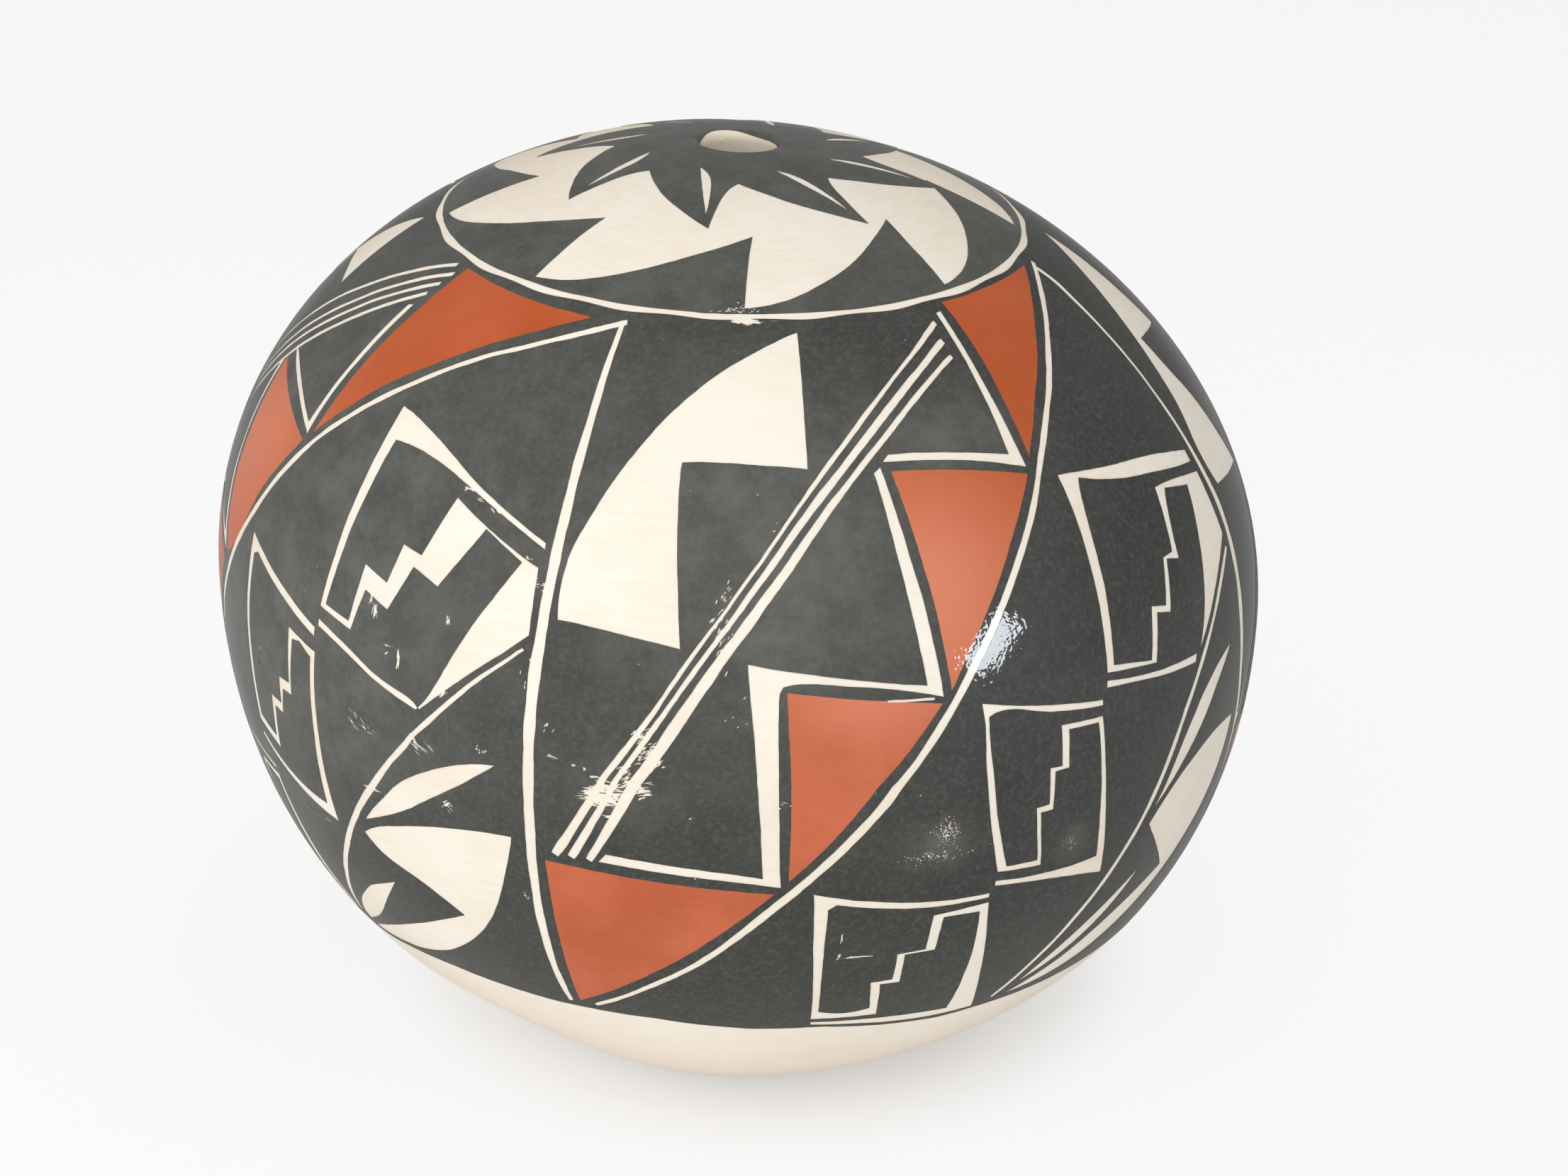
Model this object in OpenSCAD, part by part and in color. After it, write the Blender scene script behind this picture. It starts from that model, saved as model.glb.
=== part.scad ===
// Hand-coiled pueblo seed pot: a base pressed in a shallow dish, wall coils
// stacked on it with slanted lap seams, a closing ring round the mouth,
// and a white slip coat over the outside. Z is up, and the pot rests on z = 0.

/* [Outside shape] */
// Width of the finished pot at its widest level
pot_d = 150; // [120:1:200]
// Height of the finished pot, from the resting face to the rim of the mouth
pot_h = 133; // [115:1:180]
// Height of the widest level above the resting face
widest_z = 70; // [50:1:85]
// Width of the flat resting face
foot_d = 38; // [24:1:60]
// Fullness of the shoulder, where 2 is a true ellipse
upper_fullness = 2; // [1.8:0.05:2.6]
// Fullness of the lower wall, where 2 is a true ellipse
lower_fullness = 2.1; // [1.8:0.05:2.6]

/* [Clay] */
// Thickness of the scraped clay wall at the widest level and under the shoulder
wall_t = 4.5; // [3:0.1:8]
// Thickness of the clay floor in the middle
floor_t = 6; // [4:0.1:10]
// Height of the pressed base, up to its seam with the first coil
base_h = 22; // [16:1:32]
// Length of the slanted lap at each seam, measured along the wall
seam_lap = 3; // [1:0.1:5]

/* [Mouth] */
// Width of the mouth hole
mouth_d = 10.6; // [6:0.1:20]
// Radius of the smoothed edge round the mouth
lip_round = 1; // [0.4:0.1:2]
// Width of the closing ring at its seam with the last coil
closing_d = 34; // [28:1:50]

/* [Slip] */
// Thickness of the white slip coat
slip_t = 0.4; // [0.2:0.05:0.8]
// Height at which the slip coat ends above the resting face
slip_edge_z = 1.2; // [0.6:0.1:4]

/* [Hidden] */
NODES = [
    "base_bowl", "coil_01", "coil_02", "coil_03", "coil_04", "coil_05", "coil_06",
    "coil_07", "coil_08", "coil_09", "coil_10", "coil_11", "coil_12", "mouth_ring", "slip_coat"
];

$fn = 96;
first_coil = 1;
coil_count = 12;
steps_per_coil = 4;
steps_base = 8;
steps_ring = 5;
steps_lip = 6;
steps_slip = 64;

clay_colour = [0.86, 0.80, 0.72];
slip_colour = [0.97, 0.93, 0.87];

// Half width of the clay body, and the half heights of its two half ellipses
clay_r = pot_d / 2 - slip_t;
mouth_r = mouth_d / 2;
lip_r = mouth_r + lip_round;
clay_up = (pot_h - slip_t - widest_z) / other_axis(lip_r / clay_r, upper_fullness);
clay_down = widest_z / other_axis(foot_d / 2 / clay_r, lower_fullness);

// Half width and half heights of the chamber
cave_r = clay_r - wall_t;
cave_up = clay_up - wall_t;
cave_down = widest_z - floor_t;

// Profile angles: the foot's edge, the first and last seams, and the lip
foot_a = -acos(pow(foot_d / 2 / clay_r, lower_fullness / 2));
base_a = angle_at_height(base_h, clay_down);
closing_a = angle_at_radius(closing_d / 2, clay_r);
lip_a = angle_at_radius(lip_r, clay_r);
bore_a = angle_at_radius(mouth_r, cave_r);
coil_a = (closing_a - base_a) / coil_count;
lap_a = seam_lap / clay_r * 180 / PI;

// The other coordinate of a unit superellipse
function other_axis(u, fullness) = pow(1 - pow(u, fullness), 1 / fullness);

// A point of the profile at angle a, from -90 at the bottom to 90 at the top
function profile(a, half_w, up, down) =
    let (
        power = 2 / (a < 0 ? lower_fullness : upper_fullness),
        rise = pow(abs(sin(a)), power)
    )
    [half_w * pow(cos(a), power), widest_z + (a < 0 ? -down : up) * rise];

function clay(a) = profile(a, clay_r, clay_up, clay_down);
function cave(a) = profile(a, cave_r, cave_up, cave_down);
function slip(a) = profile(a, clay_r + slip_t, clay_up + slip_t, clay_down + slip_t);

// Profile angles at a height below the widest level and at a radius above it
function angle_at_height(z, down) = -asin(pow((widest_z - z) / down, lower_fullness / 2));
function angle_at_radius(r, half_w) = acos(pow(r / half_w, upper_fullness / 2));

// Evenly spaced angles from one to another
function angles(from, to, steps) = [for (i = [0:steps]) from + (to - from) * i / steps];

function seam(i) = base_a + coil_a * i;
function coil_name(i) = NODES[first_coil + i];

// The base, pressed in a shallow dish, with its flat resting face
module base_bowl() {
    outside = [for (a = angles(foot_a, seam(0), steps_base)) clay(a)];
    inside = [for (a = angles(seam(0) + lap_a, -90, steps_base)) cave(a)];
    color(clay_colour)
        rotate_extrude()
            polygon(concat([[0, 0]], outside, inside));
}

// One ring of clay, pinched on over the slanted edge of the ring below it
module wall_coil(i) {
    outside = [for (a = angles(seam(i), seam(i + 1), steps_per_coil)) clay(a)];
    inside = [for (a = angles(seam(i + 1) + lap_a, seam(i) + lap_a, steps_per_coil)) cave(a)];
    color(clay_colour)
        rotate_extrude()
            polygon(concat(outside, inside));
}

// The ring that closes the shoulder down to the mouth hole
module mouth_ring() {
    lip_z = clay(lip_a)[1] - lip_round;
    outside = [for (a = angles(closing_a, lip_a, steps_ring)) clay(a)];
    lip = [
        for (a = angles(90, 180, steps_lip))
            if (a > 90) [lip_r + lip_round * cos(a), lip_z + lip_round * sin(a)]
    ];
    inside = [for (a = angles(bore_a, closing_a + lap_a, steps_ring)) cave(a)];
    color(clay_colour)
        rotate_extrude()
            polygon(concat(outside, lip, inside));
}

// The white slip, brushed over the outside from the edge of the foot to the mouth
module slip_coat() {
    low_a = angle_at_height(slip_edge_z, clay_down + slip_t);
    high_a = angle_at_radius(lip_r, clay_r + slip_t);
    outside = [for (a = angles(low_a, high_a, steps_slip)) slip(a)];
    under_low_a = angle_at_height(slip_edge_z, clay_down);
    color(slip_colour)
        rotate_extrude()
            polygon(concat(outside, reversed(under_slip(under_low_a))));
}

// The clay's own profile points under the slip, so that the coat lies on each ring
function under_slip(low_a) = [
    clay(low_a),
    for (a = angles(foot_a, seam(0), steps_base)) if (a > low_a && a < seam(0)) clay(a),
    for (a = angles(seam(0), closing_a, steps_per_coil * coil_count)) if (a < closing_a) clay(a),
    for (a = angles(closing_a, lip_a, steps_ring)) clay(a)
];
function reversed(points) = [for (i = [len(points) - 1:-1:0]) points[i]];

base_bowl();
for (i = [0:coil_count - 1])
    wall_coil(i);
mouth_ring();
slip_coat();
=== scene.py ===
"""Looks of a hand-coiled pueblo seed pot: slip, black and red paint films, clay rings, light and camera."""

import math

import bpy
import numpy as np
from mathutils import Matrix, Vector, noise
from mathutils.geometry import delaunay_2d_cdt
from mathutils.kdtree import KDTree

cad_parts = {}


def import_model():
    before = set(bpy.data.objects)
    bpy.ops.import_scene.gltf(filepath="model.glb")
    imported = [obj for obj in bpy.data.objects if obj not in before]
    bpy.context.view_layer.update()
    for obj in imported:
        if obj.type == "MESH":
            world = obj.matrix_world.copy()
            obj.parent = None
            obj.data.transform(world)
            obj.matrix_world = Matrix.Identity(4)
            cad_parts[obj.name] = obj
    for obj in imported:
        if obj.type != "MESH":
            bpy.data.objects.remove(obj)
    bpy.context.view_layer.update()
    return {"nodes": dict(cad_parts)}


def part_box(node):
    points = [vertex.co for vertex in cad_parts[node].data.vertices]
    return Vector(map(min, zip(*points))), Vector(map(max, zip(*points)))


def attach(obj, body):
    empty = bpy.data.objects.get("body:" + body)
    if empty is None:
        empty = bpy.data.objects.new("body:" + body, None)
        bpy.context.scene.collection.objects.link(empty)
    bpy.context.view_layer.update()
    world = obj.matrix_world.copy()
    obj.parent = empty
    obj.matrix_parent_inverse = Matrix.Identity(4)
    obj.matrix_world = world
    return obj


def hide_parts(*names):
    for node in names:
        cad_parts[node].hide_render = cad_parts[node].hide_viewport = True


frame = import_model()

# Sizes of the pot in millimetres, taken from the frame where it has them
MM = 0.001
slip_low, slip_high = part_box("slip_coat")
POT_R = slip_high[0] / MM
POT_H = slip_high[2] / MM
SLIP_EDGE_Z = slip_low[2] / MM
WIDEST_Z = 70.0
FOOT_R = 19.0
LIP_R = 6.3
SLIP_T = 0.4
LIP_DROP = 1.4
LIP_IN = 1.06
LIP_ROUND = 1.0
LIP_END = 0.999
LOWER_FULLNESS = 2.1
UP = (POT_H - SLIP_T - WIDEST_Z) / math.sqrt(1 - (LIP_R / (POT_R - SLIP_T)) ** 2) + SLIP_T
FOOT_SHARE = FOOT_R / (POT_R - SLIP_T)
DOWN = WIDEST_Z / (1 - FOOT_SHARE ** LOWER_FULLNESS) ** (1 / LOWER_FULLNESS) + SLIP_T

# The hand-made shape leans to the right, is a little lumpy and has one flattened place
LEAN = 0.0422
LEAN_RISE = 0.25 * POT_H
LUMP = 0.12
# Lumps round the pot, millimetres up it for one radian, start in radians and share of each wave
LUMP_WAVES = [(3, 31, 0.7, 1.0), (5, -23, 2.1, 0.7)]
DENT_DEPTH = 2.2
DENT_AZ = math.radians(-37)
DENT_Z = 13.0
DENT_WIDE = math.radians(21)
DENT_HIGH = 8.3

# The painted band runs from a level line near the base up to a line round the crown
BAND_LOW = math.radians(-33.5)
RING_MEAN, RING_SIN, RING_COS = (math.radians(a) for a in (57.6, 0.8, -3.1))
# Degrees round the pot for one u of the band's plan
U_DEG = 0.9
ROUND = 360 / U_DEG
SEAM_U = 118 / U_DEG
PAINT_TOP = 0.07
PAINT_UNDER = -0.05


def lean_weight(z):
    """0 at the resting face, rising to 1 a quarter of the way up."""
    share = np.clip(z / LEAN_RISE, 0, 1)
    return share * share * (3 - 2 * share)


def hand(points):
    """The potter's hand: moves points in millimetres off the true turned shape."""
    x, y, z = points.T
    az = np.arctan2(x, -y)
    radius = np.hypot(x, y)
    rise = lean_weight(z)
    lumps = sum(share * np.sin(count * az + z / climb + start) for count, climb, start, share in LUMP_WAVES)
    push = LUMP * lumps * rise * radius / POT_R
    turn = (az - DENT_AZ + math.pi) % (2 * math.pi) - math.pi
    push = push - DENT_DEPTH * np.exp(-(turn / DENT_WIDE) ** 2 - ((z - DENT_Z) / DENT_HIGH) ** 2)
    grow = 1 + push / np.maximum(radius, 1)
    return np.stack([x * grow, y * grow, z - LEAN * x * rise], axis=1)


def profile(t):
    """Radius and height of the slip's outside at profile angle t."""
    low = t < 0
    power = np.where(low, 2 / LOWER_FULLNESS, 1)
    radius = POT_R * np.cos(t) ** power
    height = WIDEST_Z + np.where(low, -DOWN, UP) * np.abs(np.sin(t)) ** power
    return radius, height


def surface(az, t, lift):
    """Points on the pot at azimuth az and profile angle t, lifted off the slip by lift."""
    step = 1e-4
    radius, height = profile(t)
    radius_a, height_a = profile(t - step)
    radius_b, height_b = profile(t + step)
    along_r, along_z = radius_b - radius_a, height_b - height_a
    length = np.hypot(along_r, along_z)
    radius = radius + lift * along_z / length
    height = height - lift * along_r / length
    return hand(np.stack([radius * np.sin(az), -radius * np.cos(az), height], axis=1))


def ring_angle(az):
    """Profile angle of the line round the crown."""
    return RING_MEAN + RING_SIN * np.sin(az) + RING_COS * np.cos(az)


def on_band(flat, lift):
    """Maps the band's plan, u round the pot and s from 0 to 100 up it, to the pot."""
    az = np.radians(flat[:, 0] * U_DEG)
    t = BAND_LOW + (ring_angle(az) - BAND_LOW) * flat[:, 1] / 100
    return surface(az, t, lift)


def crown_height(radius):
    """Height of the slip's outside at a radius on the crown, over the lip too."""
    over_lip = np.clip((LIP_R - radius) / LIP_IN, 0, LIP_END)
    outside = WIDEST_Z + UP * np.sqrt(1 - (np.maximum(radius, LIP_R) / POT_R) ** 2)
    return outside - LIP_DROP * (1 - np.sqrt(1 - over_lip**2))


def on_crown(flat, lift):
    """Maps the crown's plan, x and y in millimetres about the mouth, to the pot."""
    step = 1e-3
    radius = np.hypot(flat[:, 0], flat[:, 1])
    slope = (crown_height(radius + step) - crown_height(radius - step)) / (2 * step)
    length = np.sqrt(1 + slope**2)
    out = radius - lift * slope / length
    height = crown_height(radius) + lift / length
    return hand(np.stack([flat[:, 0] / radius * out, flat[:, 1] / radius * out, height], axis=1))


# Brush outlines
CORNER = math.cos(math.radians(38))
STEP = 0.9
FINE_WOBBLE, FINE_SCALE = 0.06, 0.8
SLOW_WOBBLE, SLOW_SCALE = 0.12, 0.15
SLOW_SHIFT = 40
UNEVEN, UNEVEN_SCALE, UNEVEN_SHIFT = 0.2, 0.25, 80
STROKE_END = 0.88
SHORTEST = 1e-9
WOBBLE_SEED = 3
noise.seed_set(WOBBLE_SEED)


def unit(v):
    return v / max(np.linalg.norm(v), SHORTEST)


def tangents(points, closed):
    """Unit tangents going into and out of each point, which differ at a corner."""
    count = len(points)
    into, out = np.zeros((count, 2)), np.zeros((count, 2))
    for i in range(count):
        end = not closed and i in (0, count - 1)
        before = unit(points[i] - points[i - 1])
        after = unit(points[(i + 1) % count] - points[i])
        if end or before @ after < CORNER:
            continue
        into[i] = out[i] = unit(before + after)
    return into, out


def curve(points, closed=True):
    """A line through the points, smooth except at sharp corners."""
    points = np.array(points, float)
    into, out = tangents(points, closed)
    count = len(points)
    line = []
    for i in range(count if closed else count - 1):
        a, b = points[i], points[(i + 1) % count]
        chord = b - a
        way = unit(chord)
        start, stop = out[i], into[(i + 1) % count]
        if not start.any():
            start = 2 * (way @ stop) * way - stop if stop.any() else way
        if not stop.any():
            stop = 2 * (way @ start) * way - start
        length = np.linalg.norm(chord)
        parts = max(1, round(length / STEP))
        for k in range(parts):
            f = k / parts
            line.append(
                (2 * f**3 - 3 * f**2 + 1) * a + (f**3 - 2 * f**2 + f) * length * start
                + (3 * f**2 - 2 * f**3) * b + (f**3 - f**2) * length * stop
            )
    if not closed:
        line.append(points[-1])
    return np.array(line)


def wobble(line, seed):
    """Small unevenness of a brushed edge."""
    moved = line.copy()
    for scale, size, shift in ((FINE_SCALE, FINE_WOBBLE, 0), (SLOW_SCALE, SLOW_WOBBLE, SLOW_SHIFT)):
        for i, (x, y) in enumerate(line):
            push = noise.noise_vector(Vector((x * scale, y * scale, seed + shift)))
            moved[i] += size * push.x, size * push.y
    return moved


def stroke(points, widths, seed):
    """The outline of one brush stroke along a line, with widths evenly spaced on the way."""
    line = curve(points, closed=False)
    width = np.interp(np.linspace(0, 1, len(line)), np.linspace(0, 1, len(widths)), widths)
    ahead = np.gradient(line, axis=0)
    side = np.stack([-ahead[:, 1], ahead[:, 0]], axis=1)
    side /= np.linalg.norm(side, axis=1)[:, None]
    spots = [Vector((x * UNEVEN_SCALE, y * UNEVEN_SCALE, seed + UNEVEN_SHIFT)) for x, y in line]
    half = width / 2 * (1 + UNEVEN * np.array([noise.noise(spot) for spot in spots]))
    half[[0, -1]] *= STROKE_END
    return np.concatenate([line + side * half[:, None], (line - side * half[:, None])[::-1]])


# Motifs of one panel of the band: p runs from 0 to 100 across it and s from 0 to 100 up it.
# Bare motifs leave the white slip showing.
FRONT_WING = [
    (33.7, 97.5), (33.2, 92), (32.3, 79), (24, 79.7), (15.3, 79.5), (15.2, 76), (15.9, 63), (16.4, 56.4),
    (8, 57.7), (2, 58.2), (2.3, 66), (5, 73.3), (8.5, 80), (14, 87), (20, 91.8), (30, 96.4),
]
FRONT_UPPER_ZIGZAG = [
    (43, 79.3), (44, 80.2), (50, 79.9), (56, 79.1), (62.3, 77.8), (62.6, 85), (63.1, 97.8), (64.4, 97.9),
    (64.1, 93), (63.9, 87), (64.3, 75.7), (58, 77.6), (52, 78.7), (47, 79.1),
]
FRONT_LOWER_ZIGZAG = [
    (41.4, 78), (42.5, 78.7), (43.5, 72), (45.2, 60), (46.3, 49.5), (41, 51), (36, 51.8), (29, 52.3),
    (27.9, 52), (27.5, 51.2), (27.4, 49), (27.4, 36), (27.7, 26.4), (22, 27), (7, 28), (7.9, 29.2),
    (18, 28.4), (25.7, 27.6), (25.4, 33), (24.3, 50), (24, 54.8), (34, 53), (44.4, 51.2), (43.2, 62),
    (42, 73),
]
FRONT_TOP_STEP = [
    (68.9, 73.7), (75, 72.9), (87, 71.3), (98.3, 68.4), (98.3, 66.8), (88, 68.8), (76, 71.3), (72.2, 72.5),
    (71.3, 70), (70.5, 58), (69.8, 48.4), (76.4, 46.9), (77.8, 53.8), (80.6, 53), (82.4, 58.9), (84.6, 59),
    (86, 67.2), (90, 66.9), (98.7, 65.2), (99.3, 56), (93.5, 51.2), (86.8, 44.3), (89.2, 49.8), (92.5, 60),
    (94.1, 65), (88.3, 66.4), (87.4, 65.2), (85.7, 57.7), (83.1, 58.5), (81.4, 51.9), (78.7, 52.7),
    (77.3, 46.3), (68.6, 47.7), (69.1, 62),
]
FRONT_TOP_STEP_FOOT = [
    (68.5, 46.7), (74, 45.6), (80, 44.8), (86.2, 44.4), (85.8, 43.3), (80, 43.9), (74, 44.9), (68.4, 45.8),
]
FRONT_MIDDLE_STEP = [
    (50.9, 47.9), (60, 45.7), (67.7, 44.4), (67.7, 43.6), (60, 44.8), (53.5, 46.5), (51.7, 45.9), (52.7, 35),
    (55, 26), (59.3, 25.8), (58.3, 32.9), (60.1, 33), (59.9, 37.1), (61.6, 37), (61.3, 42.6), (67.6, 42.1),
    (68.4, 35), (69.6, 28), (70.8, 20.4), (63, 22.2), (53.8, 23.5), (53.8, 24.2), (64, 23.4), (69.1, 23.4),
    (67.8, 34), (66.9, 41.4), (62.4, 41.7), (62.6, 36.6), (60.7, 36.6), (60.7, 32.2), (59, 32.2), (60, 24.9),
    (53.9, 25.4), (51.4, 38), (51.2, 45),
]
FRONT_LOW_STEP = [
    (31.5, 25.4), (40, 23.6), (53.3, 22.6), (53.3, 22), (42, 22.4), (34.2, 23.7), (33.2, 23), (33.2, 12),
    (33.5, 4.6), (37, 3.95), (40.4, 4.6), (39.7, 10.2), (42.5, 10.4), (42.4, 15), (46, 15.2), (46.2, 20.8),
    (53.4, 21.3), (55.6, 8), (57.4, -0.1), (50, -0.15), (44, 0.25), (38, 0.9), (32.8, 1.35), (32.8, 2.1),
    (42, 1.8), (52.6, 1.35), (52.9, 12), (52.4, 20.1), (47.6, 20.2), (47.3, 14.8), (43.4, 14.7), (43.6, 9.6),
    (41, 9.6), (41.7, 2.75), (32.7, 2.75), (31.7, 20),
]
FRONT_UPPER_BLADE = [
    (96.2, 41.8), (90, 39.5), (84, 34.3), (80.3, 28.5), (78.8, 26.3), (85, 31.5), (91, 36.8),
]
FRONT_LEAF = [
    (78.8, 24.4), (83, 28.5), (86, 30), (92, 31.6), (99.2, 31.2), (97, 24), (92.5, 17.5), (84, 9), (74, 3),
    (62.5, 0.7), (70, 5), (78, 10.6), (86.4, 15.2),
]
FRONT_LOWER_BLADE = [(79.8, 17.6), (74, 13.2), (68, 7.8), (63.8, 2.9), (71, 7.5), (77, 13.5)]
DIVIDER = (
    (0.95, 1.15, 1.25, 1.25, 1.35, 1.3, 1.2, 1.1, 1.05, 0.8),
    [(1.5, 97.4), (1.4, 86), (1.0, 72), (0.4, 60), (-0.4, 46), (-0.8, 33), (-1.1, 18), (-0.8, 8), (-0.3, 2)],
)
FRONT_STROKES = [
    DIVIDER,
    ((0.8, 0.85, 1.05, 0.95, 0.85, 0.95, 0.95, 1.05, 1.05, 0.95, 0.7, 0.7), [
        (102, 98), (95.5, 95.7), (89, 92.8), (83, 89.5), (74.5, 83.1), (67.8, 76.8), (62.8, 70.4),
        (55.3, 60.1), (50, 52.2), (40.5, 37.8), (35.3, 32), (28, 24.5), (19, 15), (11.5, 8.4), (3.3, 2.3),
    ]),
    ((0.8, 0.5, 0.7, 0.45, 0.4, 0.5, 0.75, 1.0), [
        (61.6, 96.6), (52, 92.05), (44, 87), (36, 80.2), (28.9, 72), (19.3, 58), (9.1, 40), (1.9, 28),
    ]),
    ((0.85, 1.0, 1.0, 0.8, 0.55, 0.6, 0.95), [
        (60.8, 93.9), (52, 89.75), (44, 84.6), (36, 77.8), (29.1, 70), (18.3, 54), (7.6, 34.7), (3.8, 28),
    ]),
    ((0.7, 0.75, 0.85, 1.1, 1.3, 1.35, 0.85), [
        (60.8, 91.6), (52, 87.6), (44, 82.3), (36, 75.4), (28.4, 66), (20.3, 54), (13.2, 41), (5.9, 28),
    ]),
    ((0.35,), [(39.7, 49.6), (45.2, 49.4)]),
    ((0.95,), [(99.3, 54.2), (94, 50), (88, 43.6), (83, 36.5), (75.5, 23.5), (67.5, 11.5), (60.3, 1)]),
]
FRONT_RED = [
    [
        (66.1, 99), (80, 98.9), (97.5, 98.5), (94.6, 97.3), (88.9, 95), (82.9, 91.8), (78.2, 88.5),
        (73.9, 85.3), (70.2, 82), (65.5, 76.9), (65.6, 82), (66.3, 94),
    ],
    [(43.9, 78), (54, 77.1), (64, 74.8), (56, 64), (47.3, 50.2), (46.2, 62), (44.7, 73)],
    [(28.3, 51.3), (40, 49.6), (46.1, 48.7), (41, 41.5), (34, 33), (28.6, 27.3), (28.7, 40)],
    [(0.7, 27), (15, 26.2), (27, 25.5), (20, 18.5), (10, 9.4), (1.2, 2.7), (0.9, 15)],
]
FRONT_BARE = [
    FRONT_WING, FRONT_UPPER_ZIGZAG, FRONT_LOWER_ZIGZAG, FRONT_TOP_STEP, FRONT_TOP_STEP_FOOT,
    FRONT_MIDDLE_STEP, FRONT_LOW_STEP, FRONT_UPPER_BLADE, FRONT_LEAF, FRONT_LOWER_BLADE,
]

LEFT_WING = [
    (26, 97.8), (27, 92), (28.5, 84.3), (20, 85), (13, 84.8), (12.6, 76), (13, 66), (13.4, 57.6), (2, 58.6),
    (2.3, 66), (5, 74), (9, 82), (14, 89), (20, 94.5),
]
LEFT_UPPER_ZIGZAG = [
    (33.5, 75.4), (38, 75.1), (43, 74.1), (48, 72.6), (53.3, 70.6), (54.4, 79), (56, 90.4), (57.3, 90.8),
    (56, 82), (55, 76), (54.5, 69.2), (48, 71.7), (43, 73.2), (38, 74.3),
]
LEFT_LOWER_ZIGZAG = [
    (31.7, 72.4), (33, 72.2), (33.6, 67), (35, 58.5), (36.6, 53), (39.8, 45.2), (36, 47), (28.8, 50.4),
    (27.8, 50.5), (27.4, 49.7), (27.3, 47), (27.6, 26.4), (7, 28), (7.9, 29.2), (25.7, 27.6), (25.2, 36),
    (24, 53), (32, 50), (37.4, 47.6), (35, 54), (33.6, 61),
]
LEFT_TOP_STEP = [
    (70.8, 79), (74, 78.4), (80, 76.5), (91, 71.3), (99.2, 67.4), (99.2, 66.6), (92, 70), (84, 73.2),
    (78, 74.5), (72.6, 74.6), (71, 62), (69.6, 51), (73.8, 50.3), (75, 58.4), (78.8, 57.2), (80, 62.6),
    (82.9, 62), (85.8, 70.4), (93, 66.8), (98.8, 64.2), (98.8, 55.5), (92, 49), (85.3, 42), (84.5, 42.8),
    (80, 44.3), (74, 46.8), (68.6, 48.6), (68.6, 47.6), (74, 45.9), (80, 43.4), (84.8, 41.8), (86.5, 44.2),
    (91.5, 55), (96.6, 64.5), (91, 67.5), (86.2, 58.8), (82.2, 60.3), (79.6, 53.8), (75.8, 55.2),
    (74.3, 49.2), (68.6, 50.4), (70, 66),
]
LEFT_MIDDLE_STEP = [
    (50, 53.3), (58, 50.5), (68, 47.1), (68, 45.8), (60, 48.5), (52.5, 51.2), (51.5, 50.7), (52, 40),
    (52.8, 29.3), (57, 28.3), (57.5, 33.9), (60, 33.7), (60.1, 36.9), (62.5, 37), (62.6, 45), (68.3, 43.7),
    (68.3, 28), (68.6, 21.3), (60, 23), (51.6, 26.2), (52, 26.9), (60, 24.1), (67, 23.3), (67.4, 42.6),
    (65, 43.9), (63.5, 43.6), (62.9, 35.7), (60.9, 35.7), (60.2, 32.5), (58.3, 32.7), (57.6, 26.8),
    (51.8, 28.3), (50.5, 48),
]
LEFT_UPPER_BLADE = [
    (95.2, 37.4), (92.2, 36.9), (86.9, 35), (81.4, 31.4), (77.9, 27.9), (74.8, 24.3), (82.4, 28.5),
    (87.4, 32), (92.1, 35.2),
]
LEFT_LEAF = [
    (73.9, 22.1), (76.2, 23.7), (82.5, 26.3), (89, 28.1), (96.7, 29.1), (94, 20.2), (91.2, 14.6), (87, 9.7),
    (81.6, 5.3), (75, 2.1), (67, 0), (60.3, -0.9), (70, 4.4), (79.4, 9.7), (87.6, 14.4), (82.5, 17.7),
    (76.2, 20.1),
]
LEFT_LOWER_BLADE = [
    (76.8, 15.6), (74, 14.1), (70.7, 12.2), (66.7, 8.9), (63.9, 6.2), (60.1, 1.6), (60.2, 0.3), (67.2, 4.9),
    (70.9, 8.5), (74.4, 12.6),
]
LEFT_STROKES = [
    DIVIDER,
    ((1.0, 0.75, 0.85, 0.85, 1.05, 1.1, 1.1, 1.0, 0.8), [
        (102.3, 97.8), (95, 95.2), (85, 91), (80, 88.7), (70, 82), (60, 72.8), (55, 66.5), (50, 58.3),
        (44, 48), (40, 40.6), (36.5, 34.5), (22, 18.3), (14, 10.7), (3.3, 2.3),
    ]),
    ((0.75,), [(57.5, 98.3), (53, 96.5), (48, 94), (38, 87.2), (29, 79), (19, 66), (9, 46), (2, 28.2)]),
    ((0.75,), [(59.2, 97), (50, 92.5), (40, 85.2), (30, 75.8), (20, 62.5), (10, 44), (4, 28.2)]),
    ((0.75,), [(58.5, 95), (50, 90.3), (40, 82.7), (30, 73), (20, 59), (10, 40), (5.7, 28.2)]),
    ((0.75,), [(57.8, 93), (50, 88), (40, 80), (31, 70.8), (20, 55.5), (10, 36.5), (7.2, 28.2)]),
    ((0.4, 0.75, 0.95, 0.95), [
        (98.3, 53.7), (92.2, 47.6), (85, 38.9), (77.8, 30.6), (70, 20), (62.2, 7.8), (57.8, 0.3),
    ]),
]
LEFT_RED = [
    [
        (61, 98.6), (75, 98.2), (95.3, 97.6), (90, 95.5), (81.8, 91.7), (75.4, 88), (65.5, 80.6), (60, 75),
        (55.8, 70), (58, 84), (59.7, 92),
    ],
    [(33.5, 73.2), (47, 70.1), (54.2, 68.2), (49.4, 60), (42.3, 47), (40.6, 46.2), (37.3, 54.5), (35, 66)],
    [(28.4, 49.2), (33, 47.2), (38.9, 44.3), (36.4, 38.6), (33, 32.8), (28.6, 27.3), (28.6, 40)],
    FRONT_RED[3],
]
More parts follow.
